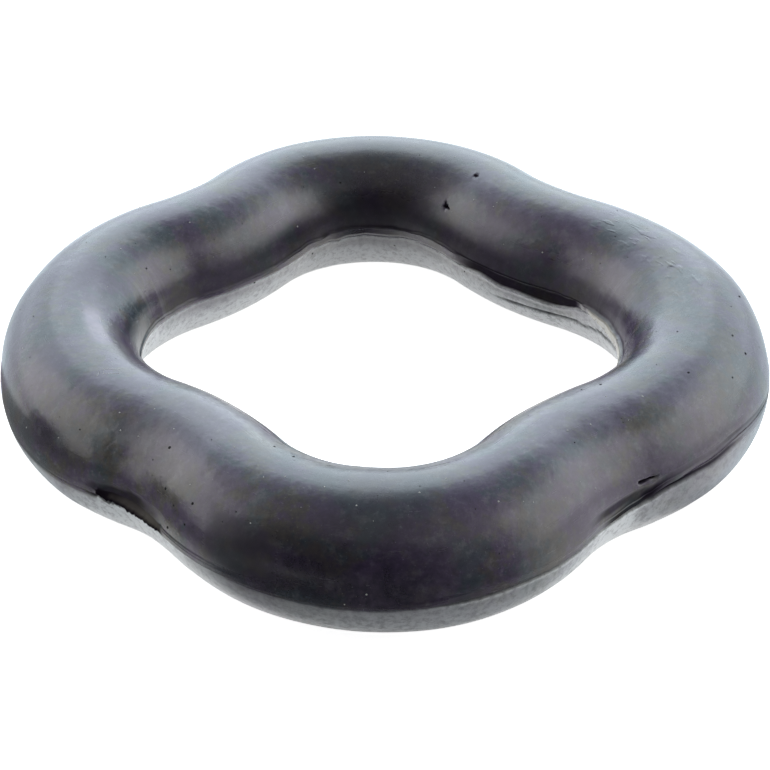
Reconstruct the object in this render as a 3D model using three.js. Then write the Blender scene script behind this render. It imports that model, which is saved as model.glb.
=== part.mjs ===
// Exhaust hanger: one moulded rubber ring with four lobes and four waists between them.
// A rod of the car's bracket seats in one lobe, and a rod of the pipe in the opposite one.
// Millimetres, +Z up. The ring lies flat, +X to its right lobe and -Y to its front lobe.
// The origin is the middle of the ring's outer box, at the underside.

import * as THREE from 'three';
import { ParametricGeometry } from 'three/addons/geometries/ParametricGeometry.js';
import { mergeVertices } from 'three/addons/utils/BufferGeometryUtils.js';

// The rubber's round section

const sectionDiameter = 13;
const landHeight = 0.7; // flat band left at half height where the mould halves met
const landProud = 0.1; // how far the band stands out of the upper half
const mouldStep = 0.25; // how far the lower half sits in from the upper half

// The ring's centre line, in the middle of the rubber

const rightReach = 28.4; // from the ring's centre out to each lobe
const backReach = 27.3;
const leftReach = 27.6;
const frontReach = 27.3;
const sideLobeRadius = 17.2; // bend at the right and left lobes
const endLobeRadius = 15.3; // bend at the back and front lobes
const waistRadius = 23.4; // opposite bend at each waist
const outOfSquare = -0.02; // set that the soft ring has taken, as a shear

// Fineness of the faceted surface

const stationsAround = 128;
const arcFacets = 12; // along each half of the section

// Centre line: each lobe is an arc round a point on its own axis

const lobes = [
  { reach: rightReach, radius: sideLobeRadius },
  { reach: backReach, radius: endLobeRadius },
  { reach: leftReach, radius: sideLobeRadius },
  { reach: frontReach, radius: endLobeRadius },
];

lobes.forEach((lobe, i) => {
  const turn = (i * Math.PI) / 2;
  const offset = lobe.reach - lobe.radius;
  lobe.centre = new THREE.Vector2(offset * Math.cos(turn), offset * Math.sin(turn));
});

// A waist arc touches the lobes on both sides, so its centre lies outside the ring,
// one lobe radius plus one waist radius away from each of the two lobe centres.

function waistCentre(from, to) {
  const fromDistance = from.radius + waistRadius;
  const toDistance = to.radius + waistRadius;
  const across = to.centre.clone().sub(from.centre);
  const span = across.length();
  across.normalize();
  const along = (span ** 2 + fromDistance ** 2 - toDistance ** 2) / (2 * span);
  const out = Math.sqrt(fromDistance ** 2 - along ** 2);
  const outward = new THREE.Vector2(across.y, -across.x);
  return from.centre.clone().addScaledVector(across, along).addScaledVector(outward, out);
}

function direction(from, to) {
  return Math.atan2(to.y - from.y, to.x - from.x);
}

function ringCentreLine() {
  const line = new THREE.CurvePath();
  const waists = lobes.map((lobe, i) => waistCentre(lobe, lobes[(i + 1) % lobes.length]));
  lobes.forEach((lobe, i) => {
    const next = lobes[(i + 1) % lobes.length];
    const before = waists[(i + waists.length - 1) % waists.length];
    const after = waists[i];
    line.add(new THREE.EllipseCurve(
      lobe.centre.x, lobe.centre.y, lobe.radius, lobe.radius,
      direction(lobe.centre, before), direction(lobe.centre, after), false,
    ));
    line.add(new THREE.EllipseCurve(
      after.x, after.y, waistRadius, waistRadius,
      direction(after, lobe.centre), direction(after, next.centre), true,
    ));
  });
  return line;
}

// Section: x is outward from the centre line, y is up. The upper half is round, the
// land is a short upright face, and the lower half is the same height but narrower.

function ringSection() {
  const radius = sectionDiameter / 2;
  const landAngle = Math.asin(landHeight / 2 / radius);
  const upper = new THREE.EllipseCurve(0, 0, radius, radius, landAngle, Math.PI - landAngle);
  const lower = new THREE.EllipseCurve(
    0, 0, radius - mouldStep, radius, Math.PI + landAngle, 2 * Math.PI - landAngle,
  );
  const landFace = radius * Math.cos(landAngle) + landProud;
  return [
    ...upper.getPoints(arcFacets),
    new THREE.Vector2(-landFace, landHeight / 2),
    new THREE.Vector2(-landFace, -landHeight / 2),
    ...lower.getPoints(arcFacets),
    new THREE.Vector2(landFace, -landHeight / 2),
    new THREE.Vector2(landFace, landHeight / 2),
  ];
}

// Ring: the section carried once round the centre line, square to it everywhere

function ringGeometry() {
  const line = ringCentreLine();
  const section = ringSection();
  const surface = (around, girth, target) => {
    const place = around % 1;
    const spot = section[Math.round(girth * section.length) % section.length];
    const centre = line.getPoint(place);
    const run = line.getTangent(place);
    const along = new THREE.Vector2(run.x + outOfSquare * run.y, run.y + outOfSquare * run.x);
    along.normalize();
    target.set(
      centre.x + outOfSquare * centre.y + spot.x * along.y,
      centre.y + outOfSquare * centre.x - spot.x * along.x,
      spot.y,
    );
  };
  const geometry = new ParametricGeometry(surface, stationsAround, section.length);
  geometry.deleteAttribute('normal');
  geometry.deleteAttribute('uv');
  const closed = mergeVertices(geometry);
  closed.computeVertexNormals();
  return closed;
}

const rubber = new THREE.MeshStandardMaterial({ color: 0x2a2a2e, roughness: 0.45, metalness: 0 });

const hangerRing = new THREE.Mesh(ringGeometry(), rubber);
hangerRing.name = 'hanger_ring';
hangerRing.position.set(
  (leftReach - rightReach) / 2,
  (frontReach - backReach) / 2,
  sectionDiameter / 2,
);

const exhaustHanger = new THREE.Group();
exhaustHanger.add(hangerRing);

export default exhaustHanger;
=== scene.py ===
import math

import bpy
import numpy as np
from mathutils import Matrix, Vector


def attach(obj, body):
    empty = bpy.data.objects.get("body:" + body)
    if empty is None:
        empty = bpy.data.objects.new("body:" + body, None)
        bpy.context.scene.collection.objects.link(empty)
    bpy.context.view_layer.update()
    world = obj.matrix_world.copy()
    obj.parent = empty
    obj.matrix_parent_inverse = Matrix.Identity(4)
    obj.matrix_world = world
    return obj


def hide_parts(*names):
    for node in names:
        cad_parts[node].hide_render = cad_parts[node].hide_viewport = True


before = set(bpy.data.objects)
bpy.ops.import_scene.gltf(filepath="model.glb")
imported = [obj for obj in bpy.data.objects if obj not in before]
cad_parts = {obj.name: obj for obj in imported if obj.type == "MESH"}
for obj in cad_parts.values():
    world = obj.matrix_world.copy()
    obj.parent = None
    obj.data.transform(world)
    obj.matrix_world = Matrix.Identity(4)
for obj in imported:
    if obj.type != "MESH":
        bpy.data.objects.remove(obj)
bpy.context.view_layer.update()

mm = 0.001  # the ring is worked out in millimetres and goes into Blender in metres


# Camera

cameraView = {
    'place': (1.81, -133.78, 100.12),
    'lookAt': (0.38, -5.17, 6.5),
    'roll': -0.969,  # degrees about the view
    'lens': 84.18,
    'sensor': 36.0,
    'picture': 770,  # pixels along one side of the square picture
    'nearest': 0.01, 'farthest': 20,  # metres
}


def addObject(name, data):
    made = bpy.data.objects.new(name, data)
    bpy.context.scene.collection.objects.link(made)
    return made


def makeCamera(view):
    data = bpy.data.cameras.new('viewCamera')
    data.lens = view['lens']
    data.sensor_width = view['sensor']
    data.clip_start = view['nearest']
    data.clip_end = view['farthest']
    camera = addObject('viewCamera', data)
    place = Vector(view['place']) * mm
    aim = (Vector(view['lookAt']) * mm - place).to_track_quat('-Z', 'Y').to_matrix().to_4x4()
    roll = Matrix.Rotation(math.radians(view['roll']), 4, 'Z')
    camera.matrix_world = Matrix.Translation(place) @ aim @ roll
    bpy.context.scene.camera = camera
    return camera


def pixelRay(camera, pixel):
    # Direction = view + right * (u - middle) / focal - up * (v - middle) / focal, focal in pixels
    focal = cameraView['lens'] / cameraView['sensor'] * cameraView['picture']
    middle = (cameraView['picture'] - 1) / 2
    local = Vector(((pixel[0] - middle) / focal, (middle - pixel[1]) / focal, -1))
    return (camera.matrix_world.to_3x3() @ local).normalized()


camera = makeCamera(cameraView)
print('camera placed')


# Small curve helpers, all on whole arrays

def smooth(x):
    # 3x^2 - 2x^3 between 0 and 1, flat outside
    x = np.clip(x, 0, 1)
    return x * x * (3 - 2 * x)


def span(way, start, end, fade):
    # 1 from start to end of the way round the ring, 0 elsewhere, eased over fade at both ends
    away = np.abs((way - (start + end) / 2 + 0.5) % 1 - 0.5)
    return 1 - smooth((away - (end - start) / 2) / fade + 0.5)


def fading(way, start, over, left):
    # 1 up to start, then eased down to what is left
    return 1 - (1 - left) * smooth((way - start) / over)


def wander(way, seed, slowest, fastest, waves=14):
    # Sum of sines with whole numbers of turns round the ring, so that it closes. Height about -1 to 1
    rng = np.random.default_rng(seed)
    turns = rng.integers(slowest, fastest + 1, waves)
    phase = rng.uniform(0, 2 * np.pi, waves)
    return np.sin(2 * np.pi * way[..., None] * turns + phase).sum(-1) / math.sqrt(waves)


def along(way, knots):
    # A line through given knots (way, value), repeated each turn, eased between knots
    places = np.array([k[0] for k in knots])
    values = np.array([k[1] for k in knots])
    places = np.concatenate([places[-1:] - 1, places, places[:1] + 1])
    values = np.concatenate([values[-1:], values, values[:1]])
    index = np.clip(np.searchsorted(places, way, side='right') - 1, 0, len(places) - 2)
    share = (way - places[index]) / (places[index + 1] - places[index])
    return values[index] + (values[index + 1] - values[index]) * smooth(share)


# The ring's centre line. The way round runs from 0 to 1: right lobe, back, left, front

ringPath = {
    'rightReach': 28.4,  # from the middle out to each lobe
    'backReach': 27.3,
    'leftReach': 27.6,
    'frontReach': 27.3,
    'sideLobeRadius': 17.2,
    'endLobeRadius': 15.3,
    'waistRadius': 23.4,
    'outOfSquare': -0.02,
    'midHeight': 6.5,
}


def quarterLine(share, reachFrom, reachTo, radiusFrom, radiusTo, waist):
    # Arc round the first lobe's centre, then the waist's arc the other way, then the next lobe's:
    # the point is centre + radius * n on a lobe and centre - radius * n on the waist, n = (cos, sin)
    fromX = reachFrom - radiusFrom
    toY = reachTo - radiusTo
    gap = math.hypot(fromX, toY)
    across = np.array([-fromX, toY]) / gap
    first = radiusFrom + waist
    second = radiusTo + waist
    reachAlong = (gap ** 2 + first ** 2 - second ** 2) / (2 * gap)
    out = math.sqrt(first ** 2 - reachAlong ** 2)
    waistCentre = np.array([fromX, 0]) + reachAlong * across + out * np.array([across[1], -across[0]])
    leave = math.atan2(waistCentre[1], waistCentre[0] - fromX)
    meet = math.atan2(waistCentre[1] - toY, waistCentre[0])
    lengths = np.array([radiusFrom * leave, waist * (leave - meet), radiusTo * (math.pi / 2 - meet)])
    run = share * lengths.sum()
    onFirst = run < lengths[0]
    onWaist = ~onFirst & (run < lengths[:2].sum())
    angle = np.where(onFirst, run / radiusFrom, np.where(
        onWaist, leave - (run - lengths[0]) / waist, meet + (run - lengths[:2].sum()) / radiusTo))
    x = np.where(onFirst, fromX, np.where(onWaist, waistCentre[0], 0))
    y = np.where(onFirst, 0, np.where(onWaist, waistCentre[1], toY))
    radius = np.where(onFirst, radiusFrom, np.where(onWaist, -waist, radiusTo))
    return x + radius * np.cos(angle), y + radius * np.sin(angle), angle


def centreLine(way):
    # Four quarters, each turned a right angle further, then a shear x + k*y, y + k*x.
    # Gives the points and the normals that look away from the middle of the ring
    reaches = [ringPath[name] for name in ('rightReach', 'backReach', 'leftReach', 'frontReach')]
    radii = [ringPath['sideLobeRadius'], ringPath['endLobeRadius']] * 2
    x, y, angle = np.zeros((3, len(way)))
    quarter = np.floor(way * 4).astype(int) % 4
    for i in range(4):
        here = quarter == i
        j = (i + 1) % 4
        qx, qy, qa = quarterLine((way[here] * 4) % 1, reaches[i], reaches[j], radii[i], radii[j],
                                 ringPath['waistRadius'])
        turn = i * math.pi / 2
        x[here] = qx * math.cos(turn) - qy * math.sin(turn)
        y[here] = qx * math.sin(turn) + qy * math.cos(turn)
        angle[here] = qa + turn
    k = ringPath['outOfSquare']
    tangentX = -np.sin(angle) + k * np.cos(angle)
    tangentY = np.cos(angle) - k * np.sin(angle)
    length = np.hypot(tangentX, tangentY)
    middleX = (ringPath['leftReach'] - ringPath['rightReach']) / 2
    middleY = (ringPath['frontReach'] - ringPath['backReach']) / 2
    return x + k * y + middleX, y + k * x + middleY, tangentY / length, -tangentX / length


# The parting line: a flat land, a groove and a bead where the mould halves met. Heights are from
# the ring's mid height, depths are outward from the round section, shares run from 0 to 1. A zone
# is (from, to, fade) along the way, and a fade (from, over how far, what is left)

outerParting = {
    'middle': [(0.02, 0.2), (0.1, 0), (0.5, 0), (0.6, 0.05), (0.63, -0.1), (0.66, 0.05), (0.7, 0),
               (0.755, 0.15), (0.78, 0.3), (0.85, 0.3), (0.872, 0.4), (0.885, 0.65), (0.898, 1.15),
               (0.912, 1.4), (0.93, 1.6), (0.97, 0.7)],
    'wander': 0.05, 'wanderTurns': (6, 40),
    'landHeight': 0.6,
    'proud': 0.1,
    'groove': 0.12,
    'grooveWidth': 0.2,
    'bead': 0.05,
    'soot': 0.55,  # painted shade in the groove
    'softZone': (0.695, 0.757, 0.02),  # the seam was rubbed away at the front
    'leftSoftZone': (0.53, 0.603, 0.01),  # and at the side lobes
    'rightSoftZone': (0.932, 0.99, 0.015),
    'crispZone': (0.772, 0.922, 0.02),  # open groove at the right of the front
    'crispFade': (0.878, 0.032, 0.15),
    'crispGroove': 0.55,
    'crispWidth': 0.36,
    'crispBead': 0.12,
    'crispRimHighlight': 0.2,  # painted highlight on the bead there
    'crispShade': 0.15,  # painted shade on the land there
    # more painted shade on the land here
    'shadyZone': (0.845, 0.9, 0.02), 'shadyMore': 0.6,
    'shadowZone': (0.832, 0.925, 0.03),  # shallow channel above the seam, which runs into it
    'shadowFade': (0.885, 0.02, 0.4),
    'shadowDepth': 0.1,
    'shadowDarkness': 6.0,  # painted shade per millimetre of depth
    'shadowRise': [(0, 0.4), (0.8, 1), (0.85, 1), (0.872, 0.8), (0.888, 0.5), (0.92, 0.3)],
    'shadowHalfWidth': 0.6,
    'dimZone': (0.925, 0.965, 0.02),  # past the groove it is only a dim line
    'dimRise': 0.2,
    'dimHalfWidth': 0.5,
    'dimDepth': 0.05,
    # painted shade per millimetre of depth
    'dimShade': 8.0,
    'seed': 11,
}

tornFlash = {
    'zone': (0.6045, 0.664, 0.0016),
    'undercutZone': (0.6045, 0.66, 0.008),  # the groove under it
    'taperFade': (0.645, 0.015, 0),  # from here on it lies closer to the ring
    'lower': [(0.603, 0.1), (0.612, -0.1), (0.634, -0.25), (0.655, -0.3), (0.664, -0.05)],  # torn edge
    'lipTop': [(0.603, 0.4), (0.618, 0.7), (0.634, 0.85), (0.664, 0.6)],
    'proud': 0.3,
    'taperedProud': 0.14,
    'ragged': 0.1, 'raggedTurns': (90, 400),
    'coarse': 0.8, 'coarseTurns': (20, 60),
    'groove': 0.7,
    'grooveWidth': 0.42,
    'hollowRise': [(0.604, 0.5), (0.618, 0.8), (0.634, 1.1), (0.66, 1.1)],
    'hollowDepth': [(0.599, 0), (0.604, 0.08), (0.61, 0.1), (0.635, 0.1), (0.652, 0.05), (0.672, 0)],
    'hollowHalfWidth': 0.85,
    # painted shade per millimetre of depth, in the hollow above the flash
    'hollowShade': 7.0,
    # painted shade on the flash, darkest at its left end
    'darkening': [(0.603, 1), (0.608, 0.75), (0.616, 0.25), (0.63, 0), (0.65, 0), (0.664, 0.3)],
    'seed': 5,
}

innerParting = {
    'top': [(0, 1.3), (0.03, 1.1), (0.06, 0.8), (0.1, 0.55), (0.15, 0.62), (0.18, 0.82), (0.21, 0.68),
            (0.27, 0.66), (0.31, 0.34), (0.36, 0.25), (0.5, 0.25), (0.56, 0.35), (0.9, 0.35), (0.96, 1)],
    'bottom': [(0, 0.2), (0.03, 0.1), (0.06, 0.25), (0.075, 0.1), (0.09, -0.5), (0.108, -0.8),
               (0.13, -0.65), (0.145, -0.2), (0.165, -0.3), (0.19, -0.25), (0.21, -0.15), (0.25, -0.32),
               (0.3, -0.45), (0.35, -0.5), (0.38, -0.3), (0.45, -0.25), (0.5, -0.25), (0.56, -0.35),
               (0.9, -0.35), (0.96, 0)],
    'wander': 0.05, 'wanderTurns': (8, 70),
    'proud': 0.14,
    'groove': 0.12,
    'grooveWidth': 0.12,
    'bead': 0.12,
    # painted highlight on the bead's rim
    'beadRimHighlight': 0.35,
    # painted shade in the groove
    'soot': 0.6,
    'recessZone': (0.075, 0.155, 0.015),  # the land leans in here and lies in its own shade, which is painted
    'recess': 0.35,
    'recessShade': 0.8,
    'recessBead': 0.1,
    'wavy': 0.1, 'wavyTurns': (10, 60), 'wavyZone': (0.06, 0.35, 0.05),
    'seed': 23,
}

tornStrip = {  # skin left at the inner corner of the right lobe
    'zone': (-0.05, 0.062, 0.01),
    'proud': 0.22,
    'groove': 0.1,
    'ragged': 0.12, 'raggedTurns': (60, 300),
    'seed': 8,
}

witnessLine = {  # second mark of the mould inside the back right waist
    'zone': (0.01, 0.137, 0.02),
    'drop': [(0, -1.3), (0.05, -1.4), (0.075, -2.0), (0.11, -2.4), (0.14, -2.6), (0.5, -2.6)],
    'depth': 0.16,
    'halfWidth': 0.26,
    'darkening': 5.0,  # painted shade per millimetre of depth
}

mouldChalkAndLight = {  # pale bloom on the lower half, partly painted light from the floor: share along the way, and how much more underneath
    'outer': [(0, 0.14), (0.05, 0.08), (0.42, 0.08), (0.5, 0.3), (0.55, 0.5), (0.57, 0.5), (0.585, 0.35),
              (0.6, 0.65), (0.615, 1), (0.66, 1), (0.68, 0.42), (0.7, 0.18), (0.75, 0.3), (0.8, 0.28),
              (0.83, 0.55), (0.85, 1), (0.87, 1), (0.879, 0.5), (0.89, 0.42), (0.9, 0.25),
              (0.93, 0.18)],
    'inner': [(0, 1), (0.04, 0.55), (0.08, 0.22), (0.11, 0.2), (0.16, 0.32), (0.2, 0.13), (0.25, 0.06),
              (0.3, 0.34), (0.34, 0.46), (0.39, 0.16), (0.43, 0.25), (0.47, 0.8), (0.5, 1), (0.55, 0.05),
              (0.95, 0.05)],
    'outerDeep': [(0.05, 0.05), (0.42, 0.05), (0.5, 0.2), (0.74, 0.28), (0.8, 0.25), (0.9, 0.12)],
    'innerDeep': [(0, 0.9), (0.5, 0.9), (0.55, 0), (0.95, 0)],
    'deepOver': 3.2,  # it grows to that over this height
    'softOver': 0.5,  # and begins over this height where the seam is rubbed away
}

seamShares = ('rimHighlight', 'lipShade', 'softened', 'sides', 'ridge', 'flare', 'slit', 'torn', 'pale')


def outerSeam(way):
    # Heights, depths and shares of the outer seam: named arrays along the way
    p = outerParting
    f = tornFlash
    opened = span(way, *p['crispZone'])
    crisp = opened * fading(way, *p['crispFade'])
    sides = span(way, *p['leftSoftZone']) + span(way, *p['rightSoftZone'])
    soft = span(way, *p['softZone']) + sides
    torn = span(way, *f['zone'])
    undercut = span(way, *f['undercutZone'])
    tapered = (1 - fading(way, *f['taperFade'])) * torn
    ragged = wander(way, f['seed'], *f['raggedTurns'])
    ragged = ragged + f['coarse'] * wander(way, f['seed'] + 1, *f['coarseTurns'])
    middle = along(way, p['middle']) + p['wander'] * wander(way, p['seed'], *p['wanderTurns'])
    bottom = middle - p['landHeight'] / 2
    tornBottom = along(way, f['lower']) - f['ragged'] * ragged
    groove = p['groove'] * (1 - soft) + (p['crispGroove'] - p['groove']) * crisp
    grooveWidth = p['grooveWidth'] + (p['crispWidth'] - p['grooveWidth']) * crisp
    hollow = along(way, f['hollowDepth'])
    shadow = p['shadowDepth'] * span(way, *p['shadowZone']) * fading(way, *p['shadowFade'])
    dim = p['dimDepth'] * span(way, *p['dimZone'])
    return {name: 0 * way for name in seamShares} | {
        'top': (middle + p['landHeight'] / 2) * (1 - torn) + along(way, f['lipTop']) * torn,
        'bottom': bottom * (1 - torn) + tornBottom * torn,
        'proud': p['proud'] * (1 - soft) * (1 - opened) + f['proud'] * torn
        - (f['proud'] - f['taperedProud']) * tapered,
        'inset': along(way, ringSection['outerInset']),
        'groove': groove + f['groove'] * undercut,
        'grooveWidth': grooveWidth + (f['grooveWidth'] - p['grooveWidth']) * undercut,
        'bead': p['bead'] * (1 - soft) + (p['crispBead'] - p['bead']) * crisp,
        'grooveShade': np.clip(p['soot'] * (1 - soft) + crisp + torn, 0, 1),
        'landShade': (p['crispShade'] + p['shadyMore'] * span(way, *p['shadyZone'])) * crisp,
        'rimHighlight': p['crispRimHighlight'] * crisp,
        'lipShade': along(way, f['darkening']) * torn,
        'softened': soft,
        'sides': sides,
        'flare': torn,
        'slit': np.exp(-((way - slitRows['way']) / slitRows['long']) ** 2),
        'channels': [
            (along(way, f['hollowRise']), f['hollowHalfWidth'], hollow, f['hollowShade']),
            (middle + along(way, p['shadowRise']), p['shadowHalfWidth'], shadow, p['shadowDarkness']),
            (middle + p['dimRise'], p['dimHalfWidth'], dim, p['dimShade']),
        ],
        'drops': [],
        'torn': torn,
        'chalk': along(way, mouldChalkAndLight['outer']),
        'deep': along(way, mouldChalkAndLight['outerDeep']),
    }


def innerSeam(way):
    # The same for the inner seam
    p = innerParting
    s = tornStrip
    w = witnessLine
    recess = span(way, *p['recessZone'])
    strip = span(way, *s['zone'])
    ragged = wander(way, s['seed'], *s['raggedTurns']) * s['ragged'] * strip
    wavy = wander(way, p['seed'], *p['wavyTurns']) * p['wavy'] * span(way, *p['wavyZone'])
    return {name: 0 * way for name in seamShares} | {
        'top': along(way, p['top']) + p['wander'] * wander(way, p['seed'] + 2, *p['wanderTurns']),
        'bottom': along(way, p['bottom']) + wavy + ragged,
        'proud': p['proud'] - p['recess'] * recess + s['proud'] * strip,
        'inset': ringSection['innerInset'] + 0 * way,
        'groove': p['groove'] + s['groove'] * strip,
        'grooveWidth': p['grooveWidth'] + 0 * way,
        'bead': p['bead'] + p['recessBead'] * recess,
        'grooveShade': p['soot'] + 0 * way,
        'landShade': p['recessShade'] * recess,
        'rimHighlight': p['beadRimHighlight'] + 0 * way,
        'ridge': recess,
        'channels': [],
        'drops': [(along(way, w['drop']), w['halfWidth'], w['depth'] * span(way, *w['zone']), w['darkening'])],
        'pale': strip,
        'chalk': along(way, mouldChalkAndLight['inner']),
        'deep': along(way, mouldChalkAndLight['innerDeep']),
    }


# Section and surface

ringSection = {
    'radius': 6.5,
    'outerInset': [(0, -0.05), (0.04, 0.15), (0.1, 0.25), (0.45, 0.25), (0.49, 0.15), (0.52, -0.1),
                   (0.585, -0.2), (0.605, 0), (0.63, 0.25), (0.87, 0.25), (0.895, 0.1), (0.92, -0.15),
                   (0.97, -0.15)],
    'innerInset': 0.25,  # the lower mould half is narrower, but stands out at the side lobes
    'meetOver': 2.0,  # the upper half swells to meet it there, over this height above the land
    'stations': 840,
    'crownRows': 38,
    'bellyRows': 10,
    'shoulderRows': 10,
    'underRows': 9,
    'shoulder': 2.7,  # height where the even rows of the crown begin
    'under': -3.3,
    'slimZone': (0.45, 0.535, 0.05),  # the left lobe was squeezed a little
    'slim': 0.05,
    'forward': 0.3,  # the side lobes lie this much nearer the front
    'length': 176.0,  # once round the ring
    'flowRadius': 28.0,  # of the circle that the skin's grain runs round
}

seamRows = {  # shares of the seam's own sizes, or millimetres where a note says so
    'edge': 0.05,  # millimetres of rounding at the land's edges
    'edgeProud': 0.6,
    'ridge': 0.06,  # millimetres that a recessed land's upper edge stands out
    'lowerEdgeIn': 0.6, 'lowerEdgeUp': 0.3, 'lowerFlare': 0.4,
    'grooveMiddle': 0.5, 'grooveWall': 0.3, 'grooveFloor': (0.3, 0.75),
    'grooveToBead': 0.05,  # millimetres
    # painted shade above the land and at its upper edge
    'shadeAbove': 0.85, 'shadeEdge': 0.4,
    'paleEdge': 0.35, 'paleRidge': 0.15,
    'shadeSpread': 1.5,  # a channel's painted shade is this much fuller than its dip
}

landRows = (  # share of the land's height, then of the flash's bulge, of the painted shadow under the flash, of the land's painted shade
    (0, 0.1, 0, 0.2), (0.25, 0.3, 0, 1), (0.5, 0.6, 0.1, 1), (0.75, 1.0, 0.8, 1), (1, 0.85, 1, 1))

beadRows = (  # fall below the bead's top, then shares of its height, of its painted highlight, of the groove's painted shade
    (0, 0.7, 1.0, 0.3), (0.1, 1.0, 1.0, 0), (0.325, 0.7, 0.2, 0), (0.55, 0.0, 0.0, 0))

# Rows and stations are drawn closer together where small marks need them

closerStations = {'pits': (0.1765, 0.012), 'slit': (0.883, 0.014), 'flash': (0.605, 0.006)}  # way, width
closerRows = {'pit': (0.1736, 104, 13), 'nick': (0.1785, 141.5, 13)}  # way, angle, width in degrees
closerPull = {'stations': 0.78, 'rows': 0.84, 'rowsAlong': 0.02}  # the rows only over this much of the way
slitRows = {'way': 0.8835, 'long': 0.014, 'height': 2.14, 'wide': 0.8, 'pull': 0.75}


def sideRows(seam):
    # One side of the section from the shoulder down: outward distance, height and shares of each row.
    # Above the land the distance is sqrt(r^2 - z^2), below it (r - inset) * sqrt(1 - (z/r)^2),
    # less a cosine dip for each channel
    s = ringSection
    c = seamRows
    r = s['radius']
    rows = []

    # with weigh, the channels' painted shade instead: darker the deeper they dip
    def dip(z, channels, weigh=False):
        total = 0 * seam['top']
        for rise, half, depth, darkening in channels:
            bell = 0.5 + 0.5 * np.cos(np.pi * np.clip((z - rise) / half, -1, 1))
            weight = darkening * np.clip(c['shadeSpread'] * bell, 0, 1) if weigh else bell
            total = total + depth * weight
        return total

    def upper(z):
        wider = -np.minimum(seam['inset'], 0) * seam['sides']
        meet = wider * smooth(1 - (z - seam['top']) / s['meetOver'])
        return np.sqrt(r * r - z * z) - dip(z, seam['channels']) + meet

    def lower(z):
        return (r - seam['inset']) * np.sqrt(1 - (z / r) ** 2) - dip(z, seam['drops'])

    def add(distance, z, soot=0.0, chalk=0.0, torn=0.0, pale=0.0):
        z = z + 0 * seam['top']
        rows.append(np.stack([distance, z] + [share + 0 * z for share in (soot, chalk, torn, pale)]))

    def lowerChalkAndLight(z, start):
        # pale chalk of the lower half, with painted light that grows further down
        fadeIn = 1 - seam['softened'] * (1 - smooth((start - z) / mouldChalkAndLight['softOver']))
        deeper = smooth((start - z) / mouldChalkAndLight['deepOver']) * seam['deep']
        return np.clip(seam['chalk'] + deeper, 0, 1) * fadeIn

    top = seam['top']
    bottom = seam['bottom']
    edge = c['edge']
    width = seam['grooveWidth']
    for share in np.linspace(0, 1, s['shoulderRows'], endpoint=False):
        z = s['shoulder'] + (top + edge - s['shoulder']) * share
        above = z - slitRows['height']
        z = z - slitRows['pull'] * above * np.exp(-(above / slitRows['wide']) ** 2) * seam['slit']
        add(upper(z), z, soot=dip(z, seam['channels'], True))

    # painted shade at the land's upper edge, from the channels and from the land's own
    shade = dip(top, seam['channels'], True)
    shadeAbove = shade + c['shadeAbove'] * seam['landShade']
    add(upper(top + edge), top + edge, soot=np.maximum(shadeAbove, seam['lipShade']))
    edgeShade = shade + c['shadeEdge'] * seam['landShade'] * (1 - seam['ridge'])
    add(upper(top) + seam['proud'] * c['edgeProud'] * (1 - seam['flare']) + c['ridge'] * seam['ridge'], top,
        soot=np.maximum(edgeShade, seam['lipShade']),
        pale=c['paleEdge'] * seam['pale'] + c['paleRidge'] * seam['ridge'])

    face = upper(top) + seam['proud']
    flare = seam['proud'] * seam['flare']
    # painted shade on the land's face, and the painted shadow under the flash
    for share, bulge, under, shadeShare in landRows:
        z = top - edge + (bottom + 2 * edge - top) * share
        darkening = seam['landShade'] * shadeShare + seam['lipShade'] + under * seam['flare'] + shade * (1 - share)
        add(face - flare * (1 - bulge), z, soot=darkening, torn=seam['torn'], pale=seam['pale'])
    # the land's lower edge, painted in the shadow under the flash
    add(face - edge * c['lowerEdgeIn'] - flare * c['lowerFlare'], bottom + edge * c['lowerEdgeUp'],
        soot=seam['landShade'] + seam['flare'], torn=seam['torn'], pale=seam['pale'])

    # the groove, painted in shade
    floor = lower(bottom - width * c['grooveMiddle']) - seam['groove']
    add(floor + c['grooveWall'] * (face - floor), bottom, soot=seam['grooveShade'])
    for share in c['grooveFloor']:
        add(floor, bottom - width * share, soot=seam['grooveShade'])

    beadTop = bottom - width - c['grooveToBead']
    # the bead: a painted highlight on its rim, and the groove's painted shade
    for fall, lift, rimHighlight, shadeShare in beadRows:
        z = beadTop - fall
        darkening = dip(z, seam['drops'], True) + shadeShare * seam['grooveShade']
        chalk = np.clip(lowerChalkAndLight(z, beadTop) + rimHighlight * seam['rimHighlight'], 0, 1)
        add(lower(z) + seam['bead'] * lift, z, soot=darkening, chalk=chalk)
    start = z
    for share in np.linspace(0, 1, s['underRows'] + 1)[1:]:
        z = start + (s['under'] - start) * share
        add(lower(z), z, soot=dip(z, seam['drops'], True), chalk=lowerChalkAndLight(z, beadTop))
    return np.stack(rows)


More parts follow.
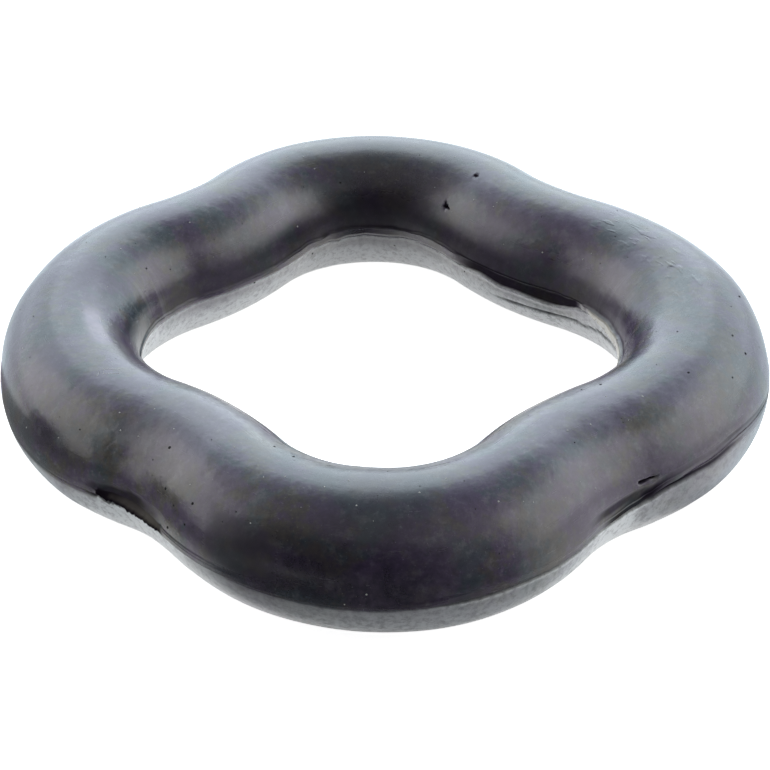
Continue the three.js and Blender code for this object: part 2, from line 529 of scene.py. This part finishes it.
def sectionRows(way):
    # All rows: down the outer side, under the belly, up the inner side, over the crown. The belly is
    # (r - inset) * cos, r * sin of even angles, and the crown r * cos, r * sin
    s = ringSection
    r = s['radius']
    outer = sideRows(outerSeam(way))
    inner = sideRows(innerSeam(way))[::-1].copy()
    inner[:, 0] *= -1
    low = math.asin(s['under'] / r)
    high = math.asin(s['shoulder'] / r)

    share = np.linspace(0, 1, s['bellyRows'] + 2)[1:-1, None]
    bellyAngle = low + (-np.pi - 2 * low) * share + 0 * way
    inset = along(way, s['outerInset']) * (1 - share) + s['innerInset'] * share
    belly = outer[-1] * (1 - share[:, :, None]) + inner[0] * share[:, :, None]
    belly[:, 0] = (r - inset) * np.cos(bellyAngle)
    belly[:, 1] = r * np.sin(bellyAngle)

    crownAngle = np.linspace(np.pi - high, high, s['crownRows'] + 2)[1:-1, None] + 0 * way
    for place, degrees, wide in closerRows.values():
        near = crownAngle - math.radians(degrees)
        closeBy = np.exp(-((way - place) / closerPull['rowsAlong']) ** 2)
        pull = np.exp(-(near / math.radians(wide)) ** 2) * closeBy
        crownAngle = crownAngle - closerPull['rows'] * near * pull
    crown = np.zeros((s['crownRows'], 6, len(way)))
    crown[:, 0] = r * np.cos(crownAngle)
    crown[:, 1] = r * np.sin(crownAngle)
    return np.concatenate([outer, belly, inner, crown])


# Marks and patches on the skin, by way round and by angle over the section in degrees: 0 is
# outward, 90 on top, 180 inward. Sizes are in millimetres

skinMarks = {  # dents: both ends, the radius at each, and the depth
    'crownPit': ((0.173, 104.2), (0.1742, 104.2), (0.18, 0.18), 0.07),
    'starNick': ((0.1772, 142), (0.1784, 142.2), (0.17, 0.17), 0.13),
    'starUp': ((0.1778, 142), (0.1822, 136.8), (0.12, 0.05), 0.06),
    'starRight': ((0.1778, 142), (0.1742, 142.4), (0.12, 0.06), 0.06),
    'starLeft': ((0.1778, 142), (0.1812, 142.3), (0.1, 0.06), 0.06),
    'slit': ((0.8770, 19.2), (0.8905, 19.4), (0.15, 0.05), 0.35),
}
darkReach = 1.25  # the darkening in a mark reaches this much further than its radius

skinSag = {  # unevenness of the moulded skin
    'height': 0.2,
    'seed': 3,
    'waves': ((4, 1), (7, 2), (11, 1), (17, 3), (6, 3), (26, 2)),  # turns round the ring, round the section
    'above': -4.0,  # below this height it lies even on the table
}

lobeHighlight = {  # painted highlight: a pale veil on the inner shoulder of the front tube
    'zone': (0.6, 0.9, 0.08),
    'angle': 119, 'wide': 9,
    'share': 0.26,
}

# Spots: way, angle, half length, half width, share

bloomSpots = {  # pale lilac bloom
    'leftShoulder': (0.532, 113, 3.6, 0.9, 0.5),
    'backRight': (0.11, 132, 11.0, 3.5, 0.08),
    'frontRight': (0.82, 45, 9.0, 3.0, 0.05),
}

darkReflectionZones = [(0.72, 0.775, 0.06), (0.185, 0.285, 0.05)]  # painted dark reflection: these stretches are painted darker
# painted dark reflection in spots
darkReflectionSpots = {
    'frontLow': (0.722, 14, 6.2, 3.6, 1),
    'leftLow': (0.584, 25, 2.2, 1.5, 1),
    'leftEdge': (0.561, 20, 2.2, 1.2, 0.7),
}

# a spot painted darker on the outer side, front left
darkSpots = {
    'frontLeft': (0.7, 26, 2.5, 2.1, 0.35),
}

wallShade = {  # painted shade on the inner wall, just above the seam
    'share': [(0, 0.15), (0.03, 0.3), (0.06, 0.42), (0.09, 0.42), (0.14, 0.6), (0.2, 0.5), (0.235, 0.58),
              (0.28, 0.52), (0.34, 0.6), (0.36, 0.5), (0.39, 0.36), (0.44, 0.2), (0.47, 0), (0.97, 0)],
    'from': 138, 'full': 166,  # degrees over the section
    'fade': 0.2,
}

cornerStreaks = {  # faint streaks down the inner wall of the side lobes
    'zones': [(-0.02, 0.055, 0.03), (0.435, 0.49, 0.03)],
    'from': 1.9, 'over': 0.7,  # radians over the section
}

skinRipple = {'zone': (0, 0.092, 0.02), 'angle': 97, 'wide': 13}  # wrinkles on the right lobe


def markDents(way, angle):
    # Depth and darkening of the marks: depth * exp(-(d / radius)^4), d = distance to the mark's line on the
    # skin
    length = ringSection['length']
    r = ringSection['radius']
    depth = 0
    darkening = 0
    for start, end, (fromRadius, toRadius), deep in skinMarks.values():
        runX = (end[0] - start[0]) * length
        runY = math.radians(end[1] - start[1]) * r
        x = (way - start[0]) * length
        y = (angle - math.radians(start[1])) * r
        share = np.clip((x * runX + y * runY) / (runX ** 2 + runY ** 2), 0, 1)
        radius = fromRadius + (toRadius - fromRadius) * share
        away = np.hypot(x - share * runX, y - share * runY) / radius
        depth = depth + deep * np.exp(-away ** 4)
        darkening = darkening + np.exp(-(away / darkReach) ** 6)
    return depth, np.clip(darkening, 0, 1)


def spotShare(spots, way, degrees):
    # Sum of share * exp(-(distance along / long)^6 - (distance across / wide)^6), soft-edged spots
    total = 0
    for place, angle, long, wide, share in spots.values():
        alongIt = (way - place) * ringSection['length'] / long
        acrossIt = np.radians(degrees - angle) * ringSection['radius'] / wide
        total = total + share * np.exp(-alongIt ** 6 - acrossIt ** 6)
    return total


def skinShares(way, height, angle, rows, darkening):
    # Shares of each look at each point of the surface, from the seams' rows, zones and spots
    degrees = np.degrees(angle)
    b = lobeHighlight
    # painted highlight on the front tube's inner shoulder
    veilHighlight = b['share'] * span(way, *b['zone']) * np.exp(-((degrees - b['angle']) / b['wide']) ** 2)
    wiped = sum(span(way, *zone) for zone in darkReflectionZones) + spotShare(darkReflectionSpots, way, degrees)
    c = cornerStreaks
    corner = sum(span(way, *zone) for zone in c['zones']) * smooth((angle - c['from']) / c['over'])
    ripple = np.exp(-((degrees - skinRipple['angle']) / skinRipple['wide']) ** 4)
    # painted shade on the inner wall above the seam
    wall = smooth((degrees - wallShade['from']) / (wallShade['full'] - wallShade['from']))
    overSeam = smooth((height - along(way, innerParting['top'])) / wallShade['fade'] + 1)
    wall = wall * overSeam * along(way, wallShade['share'])
    # near-black share: painted shade from the seams and the inner wall, with the marks' darkening and the
    # darker spots
    soot = np.clip(rows[:, 2] + darkening, 0, 1) + wall + spotShare(darkSpots, way, degrees)
    return {
        'soot': np.clip(soot, 0, 1),
        'chalk': np.clip(rows[:, 3] + veilHighlight, 0, 1),
        'torn': rows[:, 4],
        'pale': rows[:, 5],
        'corner': corner,
        'lilac': spotShare(bloomSpots, way, degrees),
        'wiped': np.clip(wiped, 0, 1),
        'ripple': span(way, *skinRipple['zone']) * ripple,
    }


def ringGrid():
    # Surface of way and girth: centre line + outward distance * normal, height. The skin sags by a
    # sum of height / turns * sin(turns round the ring * way + turns round the section * angle)
    s = ringSection
    way = np.arange(s['stations']) / s['stations']
    for place, wide in closerStations.values():
        way = way - closerPull['stations'] * (way - place) * np.exp(-((way - place) / wide) ** 2)
    x, y, nx, ny = centreLine(way)
    rows = sectionRows(way)
    distance = rows[:, 0]
    height = rows[:, 1]
    angle = np.arctan2(height, distance)
    uneven = 0
    for i, (turnsAround, turnsAcross) in enumerate(skinSag['waves']):
        phase = np.random.default_rng(skinSag['seed'] + i).uniform(0, 2 * np.pi)
        wave = np.sin(2 * np.pi * turnsAround * way + turnsAcross * angle + phase)
        uneven = uneven + skinSag['height'] / turnsAround * wave
    dent, darkening = markDents(way, angle)
    distance = distance + (uneven - dent) * np.cos(angle)
    height = height + (uneven * (height > skinSag['above']) - dent) * np.sin(angle)
    distance = distance * (1 - s['slim'] * span(way, *s['slimZone']))
    y = y - s['forward'] * np.cos(2 * np.pi * way) ** 4
    grid = np.stack([x + distance * nx, y + distance * ny, height + ringPath['midHeight']], -1)
    flow = np.stack([s['flowRadius'] * np.cos(2 * np.pi * way) + 0 * angle,
                     s['flowRadius'] * np.sin(2 * np.pi * way) + 0 * angle,
                     ((angle + 2.5 * np.pi) % (2 * np.pi)) * s['radius']], -1)
    return grid, skinShares(way, height, angle, rows, darkening), flow


def arrayMesh(name, points, corners, sizes):
    # Mesh from whole arrays: points in metres, the corners of all faces in turn, corners per face
    mesh = bpy.data.meshes.new(name)
    mesh.vertices.add(len(points))
    mesh.vertices.foreach_set('co', points.astype(np.float32).ravel())
    mesh.loops.add(len(corners))
    mesh.loops.foreach_set('vertex_index', corners.astype(np.int32))
    mesh.polygons.add(len(sizes))
    mesh.polygons.foreach_set('loop_start', (np.cumsum(sizes) - sizes).astype(np.int32))
    mesh.polygons.foreach_set('loop_total', sizes.astype(np.int32))
    mesh.update(calc_edges=True)
    mesh.validate()
    mesh.polygons.foreach_set('use_smooth', np.ones(len(sizes), bool))
    return mesh


def gridMesh(name, grid):
    # Closed both ways. Corners of face (row, station) in turn so that it faces outwards
    rows, stations = grid.shape[:2]
    row = np.arange(rows)[:, None]
    station = np.arange(stations)[None, :]
    nextRow = (row + 1) % rows
    nextStation = (station + 1) % stations
    corners = np.stack([row * stations + station, nextRow * stations + station,
                        nextRow * stations + nextStation, row * stations + nextStation], -1)
    return arrayMesh(name, grid.reshape(-1, 3) * mm, corners.ravel(), np.full(rows * stations, 4))


ringPoints, shares, flow = ringGrid()
ringMesh = gridMesh('mouldedRing', ringPoints)
for name, values in shares.items():
    layer = ringMesh.attributes.new(name, 'FLOAT', 'POINT')
    layer.data.foreach_set('value', values.astype(np.float32).ravel())
flowLayer = ringMesh.attributes.new('flow', 'FLOAT_VECTOR', 'POINT')  # draws the skin's grain out
flowLayer.data.foreach_set('vector', (flow * mm).astype(np.float32).ravel())
mouldedRing = addObject('mouldedRing', ringMesh)
bpy.context.view_layer.update()
print('ring made:', len(ringMesh.polygons) * 2, 'triangles')


# Shader maths

def maths(operation, reflected=False):
    # What an operator between two sockets, or a socket and a number, does
    def apply(self, other):
        a, b = (other, self) if reflected else (self, other)
        return self.shader.node('Math', {'operation': operation}, {0: a, 1: b})
    return apply


class Value:
    # A socket that takes part in sums
    __add__, __radd__ = maths('ADD'), maths('ADD', True)
    __sub__, __rsub__ = maths('SUBTRACT'), maths('SUBTRACT', True)
    __mul__, __rmul__ = maths('MULTIPLY'), maths('MULTIPLY', True)
    __truediv__, __pow__ = maths('DIVIDE'), maths('POWER')

    def __init__(self, shader, socket):
        self.shader = shader
        self.socket = socket


class Shader:
    # Builds nodes in one material or world

    def __init__(self, owner):
        owner.use_nodes = True
        self.tree = owner.node_tree
        self.tree.nodes.clear()

    def node(self, kind, settings=None, inputs=None, output=0):
        made = self.tree.nodes.new('ShaderNode' + kind)
        for name, value in (settings or {}).items():
            if name == 'stops':
                ramp = made.color_ramp
                while len(ramp.elements) < len(value):
                    ramp.elements.new(0.5)
                for element, (place, colour) in zip(ramp.elements, value):
                    element.position = place
                    element.color = (*colour, 1)
            else:
                setattr(made, name, value)
        for key, value in (inputs or {}).items():
            if isinstance(value, Value):
                self.tree.links.new(value.socket, made.inputs[key])
            else:
                made.inputs[key].default_value = value
        return Value(self, made.outputs[output]) if len(made.outputs) else None

    def mix(self, share, a, b):
        # a where share is 0, b where it is 1, for colours
        a = (*a, 1) if isinstance(a, tuple) else a
        b = (*b, 1) if isinstance(b, tuple) else b
        return self.node('Mix', {'data_type': 'RGBA'}, {0: share, 6: a, 7: b}, 2)

    def ease(self, value, start, end, low=0.0, high=1.0):
        # low up to start, high from end on, eased between
        return self.node('MapRange', {'interpolation_type': 'SMOOTHSTEP'},
                         {0: value, 1: start, 2: end, 3: low, 4: high})

    def noise(self, place, scale, detail=2.0, roughness=0.5):
        return self.node('TexNoise', {}, {'Vector': place, 'Scale': scale, 'Detail': detail,
                                                    'Roughness': roughness})


def plainMaterial(name, kind, inputs):
    # A material of one shader node
    material = bpy.data.materials.new(name)
    shader = Shader(material)
    surface = shader.node(kind, {}, inputs)
    shader.node('OutputMaterial', {}, {'Surface': surface})
    return material


# Rubber

rubberFinish = {
    'violetBlack': (0.072, 0.048, 0.104),
    'oliveBlack': (0.072, 0.064, 0.050),
    'tealBloom': (0.030, 0.056, 0.068),
    'lilacBloom': (0.105, 0.080, 0.125),
    'lilacPatch': (0.42, 0.34, 0.46),
    # also paints the dark reflections
    'plainBlack': (0.023, 0.018, 0.032),
    'dust': (0.20, 0.19, 0.21),
    # pale chalk, also used to paint light on the lower half
    'chalk': (0.95, 0.97, 0.98),
    # near black, for painted shade and the marks
    'soot': (0.012, 0.009, 0.014),
    'bronze': (0.15, 0.135, 0.115),
    'beige': (0.55, 0.52, 0.44),
    'tornBronze': 0.85,  # share of bronze on torn rubber
    'darkReflectionDust': 0.5, 'darkReflectionDimple': 0.6,  # share taken away where the dark reflection is painted
    'roughness': 0.25,
    'lowerRoughness': 0.45,  # under the chalk
    'wispRoughness': 0.16, 'darkRoughness': 0.3,
    'tornDull': 0.45,
    'ior': 1.8,
    'grainDepth': 0.000008,
    'swellDepth': 0.00006,
    'dimpleDepth': 0.00003,
    'wispDepth': 0.000008,
    'wrinkleDepth': 0.00004,
}

skinNoise = {  # scale, detail and roughness
    'blotch': (130.0, 4.0, 0.62),
    'teal': (247.0, 4.0, 0.65),
    'lilac': (104.0, 3.0, 0.6),
    'patch': (420.0, 4.0, 0.7),
    'cloud': (1000.0, 4.0, 0.7),
    'mottle': (1700.0, 5.0, 0.75),
    'grain': (2600.0, 3.0, 0.7),
    'speckle': (5200.0, 2.0, 0.7),
    'swell': (240.0, 2.0, 0.5),
    'dimple': (800.0, 2.0, 0.5),
}

drawnNoise = {  # the same, drawn out by taking shares of the flow's x, y and z
    'wisp': ((0.12, 0.12, 1.0), (1500.0, 4.0, 0.65)),
    'streak': ((1.0, 1.0, 0.12), (560.0, 3.0, 0.65)),
    'wrinkle': ((0.3, 0.3, 1.0), (1100.0, 2.0, 0.6)),
}

skinEase = {  # the noise where it starts and ends, then the shares before and after if not 0 and 1
    'olive': (0.92, 1.1),
    'teal': (0.5, 0.6, 0.0, 0.85),
    'lilac': (0.52, 0.66, 0.0, 0.7),
    'wiped': (0.35, 0.62, 0.9, 0.45),
    'clearCloud': (0.5, 0.3, 0.0, 0.55),
    'dustCloud': (0.5, 0.72, 0.0, 0.4),
    'grain': (0.3, 0.7, 0.3, 0.0),
    'lilacPatch': (0.3, 0.6, 0.5, 1.0),
    'speckle': (0.68, 0.76, 0.0, 0.09),
    'corner': (0.48, 0.66, 0.0, 0.1),
    'chalk': (0.33, 0.6, 0.58, 1.22),
    'pale': (0.3, 0.5, 0.35, 1.0),
    'wrinkle': (0.53, 0.64),
}


def makeRubber():
    f = rubberFinish
    material = bpy.data.materials.new('bloomedRubber')
    shader = Shader(material)
    place = shader.node('TexCoord', output=3)
    flow = shader.node('Attribute', {'attribute_name': 'flow'}, output=1)
    soot, chalk, torn, pale, corner, lilac, wiped, ripple = [  # in the order of skinShares
        shader.node('Attribute', {'attribute_name': name}, output=2) for name in shares]
    noise = {name: shader.noise(place, *look) for name, look in skinNoise.items()}
    for name, (drawn, look) in drawnNoise.items():
        run = shader.node('VectorMath', {'operation': 'MULTIPLY'}, {0: flow, 1: drawn})
        noise[name] = shader.noise(run, *look)

    def eased(name, value):
        return shader.ease(value, *skinEase[name])

    colour = shader.mix(eased('olive', noise['blotch'] + noise['patch']), f['violetBlack'], f['oliveBlack'])
    for share, tone in (
            (eased('teal', noise['teal']), 'tealBloom'),
            (eased('lilac', noise['lilac']), 'lilacBloom'),
            # painted dark reflection, in patches
            (wiped * eased('wiped', noise['patch']), 'plainBlack'),
            (eased('clearCloud', noise['cloud']), 'plainBlack'),
            (eased('dustCloud', noise['cloud']) * (1 - wiped * f['darkReflectionDust']), 'dust'),
            (eased('grain', noise['grain']), 'plainBlack'),
            (lilac * eased('lilacPatch', noise['patch']), 'lilacPatch'),
            (eased('speckle', noise['speckle']), 'chalk'),
            (torn * f['tornBronze'], 'bronze'),
            (corner * eased('corner', noise['streak']), 'chalk'),
            # pale chalk of the lower half, partly painted light and painted highlights
            (chalk * eased('chalk', noise['mottle']), 'chalk'),
            (pale * eased('pale', noise['streak']), 'beige'),
            # painted shade, near black
            (soot, 'soot')):
        colour = shader.mix(share, colour, f[tone])

    relief = noise['grain'] * f['grainDepth'] + noise['swell'] * f['swellDepth']
    relief = relief + noise['wisp'] * f['wispDepth']
    relief = relief + noise['dimple'] * (1 - wiped * f['darkReflectionDimple']) * f['dimpleDepth']
    relief = relief + eased('wrinkle', noise['wrinkle']) * ripple * f['wrinkleDepth']
    bump = shader.node('Bump', {}, {'Strength': 1.0, 'Distance': 1.0, 'Height': relief})
    roughness = f['roughness'] + chalk * (f['lowerRoughness'] - f['roughness'])
    roughness = roughness + (noise['wisp'] - 0.5) * f['wispRoughness'] + soot * f['darkRoughness']
    skin = shader.node('BsdfPrincipled', {}, {
        'Base Color': colour, 'Roughness': roughness, 'IOR': f['ior'], 'Normal': bump})
    # where shade is painted, this dull diffuse copy takes over from the gloss
    darkening = shader.node('BsdfDiffuse', {}, {'Color': colour, 'Normal': bump})
    dull = shader.ease(soot + torn * f['tornDull'], 0.0, 1.0)
    surface = shader.node('MixShader', {}, {0: dull, 1: skin, 2: darkening})
    shader.node('OutputMaterial', {}, {'Surface': surface})
    return material


ringMesh.materials.append(makeRubber())
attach(mouldedRing, 'root')
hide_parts('hanger_ring')
print('rubber ready')


# Specks of grit and dust on the skin, by the pixel where each is seen, and more of them at random

specks = {
    'grit': {'leftCrown': (169, 447), 'waistHigh': (165, 488), 'waistLow': (173, 505),
             'waistRight': (192, 503), 'lipEdge': (167, 527), 'lipInner': (184, 524),
             'frontHigh': (274, 446), 'frontLow': (293, 456), 'leftBack': (146, 268),
             'backLeft': (254, 282), 'backWaist': (312, 253), 'backTop': (340, 182),
             'backRim': (394, 245), 'backEnd': (464, 271), 'rightRim': (732, 335),
             'rightOuter': (745, 353), 'rightBack': (739, 296), 'rightTop': (677, 331),
             'frontRight': (600, 384), 'frontRightTwo': (581, 389), 'rightFlat': (732, 377),
             'rightSlope': (688, 372)},
    'dust': {'leftWaist': (138, 436), 'leftWaistTwo': (120, 430), 'frontMiddle': (356, 505),
             'frontFoot': (344, 604), 'frontLeft': (313, 619), 'frontBelly': (366, 594),
             'leftPatch': (26, 427), 'rightWaist': (567, 430), 'rightWaistTwo': (590, 424),
             'frontRise': (498, 501), 'frontRiseTwo': (419, 492), 'slope': (595, 488),
             'lowRight': (560, 567), 'rightCrown': (642, 396), 'backRight': (493, 206),
             'backRightTwo': (542, 252), 'backLeft': (189, 222), 'leftBack': (297, 226)},
    'scratches': {'upper': ((103, 368.5), (119, 368.5)), 'lower': ((103, 373), (119, 373)),
                  'end': ((103, 368.5), (103, 373)), 'side': ((96, 376), (99, 371))},
    'scratchStep': 1.1,  # pixels between the specks that a scratch is made of
    'gritRadius': 0.12, 'gritColour': (0.01, 0.01, 0.012),
    'dustRadius': 0.09, 'dustColour': (0.5, 0.5, 0.48),
    'scratchRadius': 0.05, 'scratchColour': (0.6, 0.6, 0.62),
    'scattered': 90,
    'scatteredRadius': 0.055,
    'spread': (0.7, 1.15), 'scatteredSpread': (0.5, 1.4), 'scratchSpread': (0.7, 1.2),  # times the radius
    'flatness': 0.35,
    'sides': 8,
    'rises': (-82.8, -33.12, 24.84, 82.8),  # degrees up of the rings of points on each speck
    'roughness': 0.9,
    'seed': 41,
}


def seenSpots(pixels):
    # Where the camera's rays through the pixels meet the ring, and the normals there
    origin = camera.matrix_world.translation
    hits = [mouldedRing.ray_cast(origin, pixelRay(camera, pixel)) for pixel in pixels]
    return [(place, normal) for hit, place, normal, face in hits if hit]


def scratchPixels():
    # Pixels at even steps along each scratch: start + (end - start) * share
    pixels = []
    for start, end in specks['scratches'].values():
        count = int(math.dist(start, end) / specks['scratchStep']) + 1
        pixels += list(zip(np.linspace(start[0], end[0], count), np.linspace(start[1], end[1], count)))
    return pixels


def scatteredSpots(rng, count):
    # Random places on the upper skin, away from the seams
    rowCount = len(ringPoints)
    rows = rng.integers(rowCount - ringSection['crownRows'], rowCount, count)
    stations = rng.integers(0, ringSection['stations'], count)
    vertices = [ringMesh.vertices[int(i)] for i in rows * ringSection['stations'] + stations]
    return [(vertex.co.copy(), vertex.normal.copy()) for vertex in vertices]


def makeSpecks(name, spots, radii, colour):
    # Each speck is a flattened ball: place + radius * (cos a cos b, sin a cos b, flatness * sin b),
    # turned so that its third direction is the skin's normal. Bands of four-sided faces and two ends
    sides = specks['sides']
    a = np.arange(sides) * 2 * np.pi / sides
    b = np.radians(specks['rises'])[:, None]
    ball = np.stack([np.cos(a) * np.cos(b), np.sin(a) * np.cos(b),
                     specks['flatness'] * np.sin(b) + 0 * a], -1).reshape(-1, 3)
    places = np.array([place for place, normal in spots])
    turned = np.array([normal.to_track_quat('Z', 'Y').to_matrix() for place, normal in spots])
    balls = places[:, None] + (ball @ turned.transpose(0, 2, 1)) * (radii * mm)[:, None, None]
    lower = np.arange(len(ball) - sides)
    beside = lower // sides * sides + (lower + 1) % sides
    bands = np.stack([lower, beside, beside + sides, lower + sides], -1)
    corners = np.concatenate([bands.ravel(), np.arange(sides)[::-1], lower[-sides:] + sides])
    corners = (corners + len(ball) * np.arange(len(spots))[:, None]).ravel()
    sizes = np.tile([4] * len(bands) + [sides] * 2, len(spots))
    mesh = arrayMesh(name, balls.reshape(-1, 3), corners, sizes)
    mesh.materials.append(plainMaterial(name, 'BsdfPrincipled', {
        'Base Color': (*colour, 1), 'Roughness': specks['roughness']}))
    made = addObject(name, mesh)
    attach(made, 'root')


rng = np.random.default_rng(specks['seed'])
for name in ('grit', 'dust'):
    spots = seenSpots(specks[name].values())
    radii = specks[name + 'Radius'] * rng.uniform(*specks['spread'], len(spots))
    scattered = scatteredSpots(rng, specks['scattered'])
    scatteredRadii = specks['scatteredRadius'] * rng.uniform(*specks['scatteredSpread'], len(scattered))
    radii = np.concatenate([radii, scatteredRadii])
    makeSpecks(name, spots + scattered, radii, specks[name + 'Colour'])
spots = seenSpots(scratchPixels())
radii = specks['scratchRadius'] * rng.uniform(*specks['scratchSpread'], len(spots))
makeSpecks('scratch', spots, radii, specks['scratchColour'])
print('specks laid')


# Floor

floorFinish = {
    'halfSize': 3.0,  # metres
    'colour': (0.95, 0.95, 0.95),
    'seenGlow': 0.87,  # added only for what the camera sees
    'mirrorColour': (0.66, 0.66, 0.66),  # what gloss sees: the sheet mirrors the studio
    'mirrorRoughness': 0.1,
    'paintedGlow': 1.1,  # and a painted glow close to the ring, which only gloss sees
    'glowInner': (0.011, 0.016), 'glowOuter': (0.0295, 0.0325),
    'patchSide': (-0.208, 0.978, 0.0), 'patchEdge': (0.0155, 0.0175),  # past a line at the left, gloss sees a painted dim patch instead
    'patchLeft': (-0.0355, -0.0285),
    'dimPatchFar': (-0.12, -0.05), 'dimPatchGlow': (0.04, 0.26),  # the painted dim patch's glow there, far and near
}


def addSheet(name, corners, material):
    mesh = bpy.data.meshes.new(name)
    mesh.from_pydata(corners, [], [(0, 1, 2, 3)])
    mesh.materials.append(material)
    return addObject(name, mesh)


def makeFloor():
    # Matt and glowing to the camera, a dim mirror to the ring's gloss, which also sees a painted glow round
    # the ring and a painted dim patch at the left
    f = floorFinish
    half = f['halfSize']
    material = bpy.data.materials.new('paleFloor')
    shader = Shader(material)
    place = shader.node('TexCoord', output=3)
    seen = shader.node('LightPath', output='Is Camera Ray')
    mirrored = shader.node('LightPath', output='Is Glossy Ray')
    matt = shader.node('BsdfDiffuse', {}, {'Color': (*f['colour'], 1)})

    def glowing(strength):
        return shader.node('Emission', {}, {'Color': (1, 1, 1, 1), 'Strength': strength})

    lit = shader.node('AddShader', {}, {0: matt, 1: glowing(seen * f['seenGlow'])})
    mirror = shader.node('BsdfAnisotropic', {}, {
        'Color': (*f['mirrorColour'], 1), 'Roughness': f['mirrorRoughness']})
    away = shader.node('VectorMath', {'operation': 'LENGTH'}, {0: place}, 1)
    # painted glow in a band round the ring, only for the ring's reflections
    glowBand = shader.ease(away, *f['glowInner']) * shader.ease(away, *f['glowOuter'], 1.0, 0.0)
    across = shader.node('VectorMath', {'operation': 'DOT_PRODUCT'}, {0: place, 1: f['patchSide']}, 1)
    sideways = shader.node('SeparateXYZ', {}, {0: place}, 0)
    # painted reflection: a dimly glowing patch at the left, seen in the left lobe's gloss
    dimPatch = shader.ease(across, *f['patchEdge'], 1.0, 0.0) * shader.ease(sideways, *f['patchLeft'], 1.0, 0.0)
    dark = glowing(shader.ease(sideways, *f['dimPatchFar'], *f['dimPatchGlow']))
    mirror = shader.node('MixShader', {}, {0: dimPatch, 1: mirror, 2: dark})
    sheen = shader.node('AddShader', {}, {0: mirror, 1: glowing(glowBand * f['paintedGlow'])})
    surface = shader.node('MixShader', {}, {0: mirrored, 1: lit, 2: sheen})
    shader.node('OutputMaterial', {}, {'Surface': surface})
    corners = [(-half, -half, 0), (half, -half, 0), (half, half, 0), (-half, half, 0)]
    floor = addSheet('paleFloor', corners, material)


blackCard = {  # stands at the left, out of the picture, and gives the left lobe its dark patch
    'far': (-326.0, 54.0),
    'near': (-121.0, -27.0),
    'high': 30.0,
    'colour': (0.01, 0.01, 0.01),
}


def makeBlackCard():
    far, near, high = blackCard['far'], blackCard['near'], blackCard['high']
    corners = [(*far, 0), (*near, 0), (*near, high), (*far, high)]
    black = plainMaterial('blackCard', 'BsdfDiffuse', {'Color': (*blackCard['colour'], 1)})
    card = addSheet('blackCard', [Vector(corner) * mm for corner in corners], black)


makeFloor()
makeBlackCard()
print('floor ready')


# Light: azimuth 0 is behind the ring, 90 its right

softBoxes = {  # azimuth, elevation, width and height in degrees, brightness as a share of white
    'back': (0, 27, 46, 46, 0.8),
    'left': (-82, 27, 46, 40, 0.6),
    'right': (84, 27, 50, 44, 0.5),
    'rightFront': (115, 6, 26, 34, 0.4),
    'rightFill': (128, 42, 44, 36, 0.24),
    'leftFront': (-107, 5, 15, 34, 0.6),
}

studio = {
    'boxDistance': 1.2,
    'backColour': (0.84, 0.96, 1.045),
    'backWithin': 45,  # degrees: soft boxes nearer to straight behind than this have the back's colour
    'sideColour': (0.955, 0.955, 0.95),
    'coolFrom': 0.62, 'coolTo': 0.85,  # where the side colour turns to the back's, 1 is straight behind
    'peak': 1.92,
    'axis': 8,  # the gradient's bright side, degrees from straight behind
    'aroundStops': ((0.0, 0.0), (0.26, 0.02), (0.285, 0.2), (0.34, 0.3), (0.5, 0.6), (0.68, 0.9),
                    (0.9, 1.0)),
    'lidFrom': 0.62, 'lidTo': 0.95,
    'zenith': 0.25,
}


def makeSoftBox(name, azimuth, elevation, wide, high, brightness):
    # Area lamp aimed at the ring: power = brightness * pi * area gives that brightness on its face
    distance = studio['boxDistance']
    a = math.radians(azimuth)
    e = math.radians(elevation)
    place = distance * Vector((math.sin(a) * math.cos(e), math.cos(a) * math.cos(e), math.sin(e)))
    data = bpy.data.lights.new(name, 'AREA')
    data.shape = 'RECTANGLE'
    data.size = 2 * distance * math.tan(math.radians(wide / 2))
    data.size_y = 2 * distance * math.tan(math.radians(high / 2))
    data.energy = brightness * math.pi * data.size * data.size_y
    data.color = studio['backColour' if abs(azimuth) < studio['backWithin'] else 'sideColour']
    lamp = addObject(name, data)
    lamp.matrix_world = Matrix.Translation(place) @ place.to_track_quat('Z', 'Y').to_matrix().to_4x4()


def makeWorld():
    # Brightness falls from the bright side round to the camera's side and towards the zenith
    world = bpy.data.worlds.new('studio')
    bpy.context.scene.world = world
    shader = Shader(world)
    direction = shader.node('TexCoord', output=0)
    x, y, z = [shader.node('SeparateXYZ', {}, {0: direction}, i) for i in range(3)]
    axis = math.radians(studio['axis'])
    facing = (x * math.sin(axis) + y * math.cos(axis)) / (x * x + y * y + 0.0001) ** 0.5  # -1 to 1
    stops = [(place, (grey, grey, grey)) for place, grey in studio['aroundStops']]
    around = shader.node('ValToRGB', {'stops': stops}, {0: facing * 0.5 + 0.5})
    lid = shader.ease(z, studio['lidFrom'], studio['lidTo'], 1.0, 0.0)
    brightness = around * lid * studio['peak'] + (1 - lid) * studio['zenith']
    cool = shader.ease(facing * 0.5 + 0.5, studio['coolFrom'], studio['coolTo'])
    tint = shader.mix(cool, studio['sideColour'], studio['backColour'])
    glow = shader.node('Background', {}, {'Color': tint, 'Strength': brightness})
    shader.node('OutputWorld', {}, {'Surface': glow})


for name, box in softBoxes.items():
    makeSoftBox(name, *box)
makeWorld()
print('light ready')

bpy.context.scene.view_settings.view_transform = 'Standard'
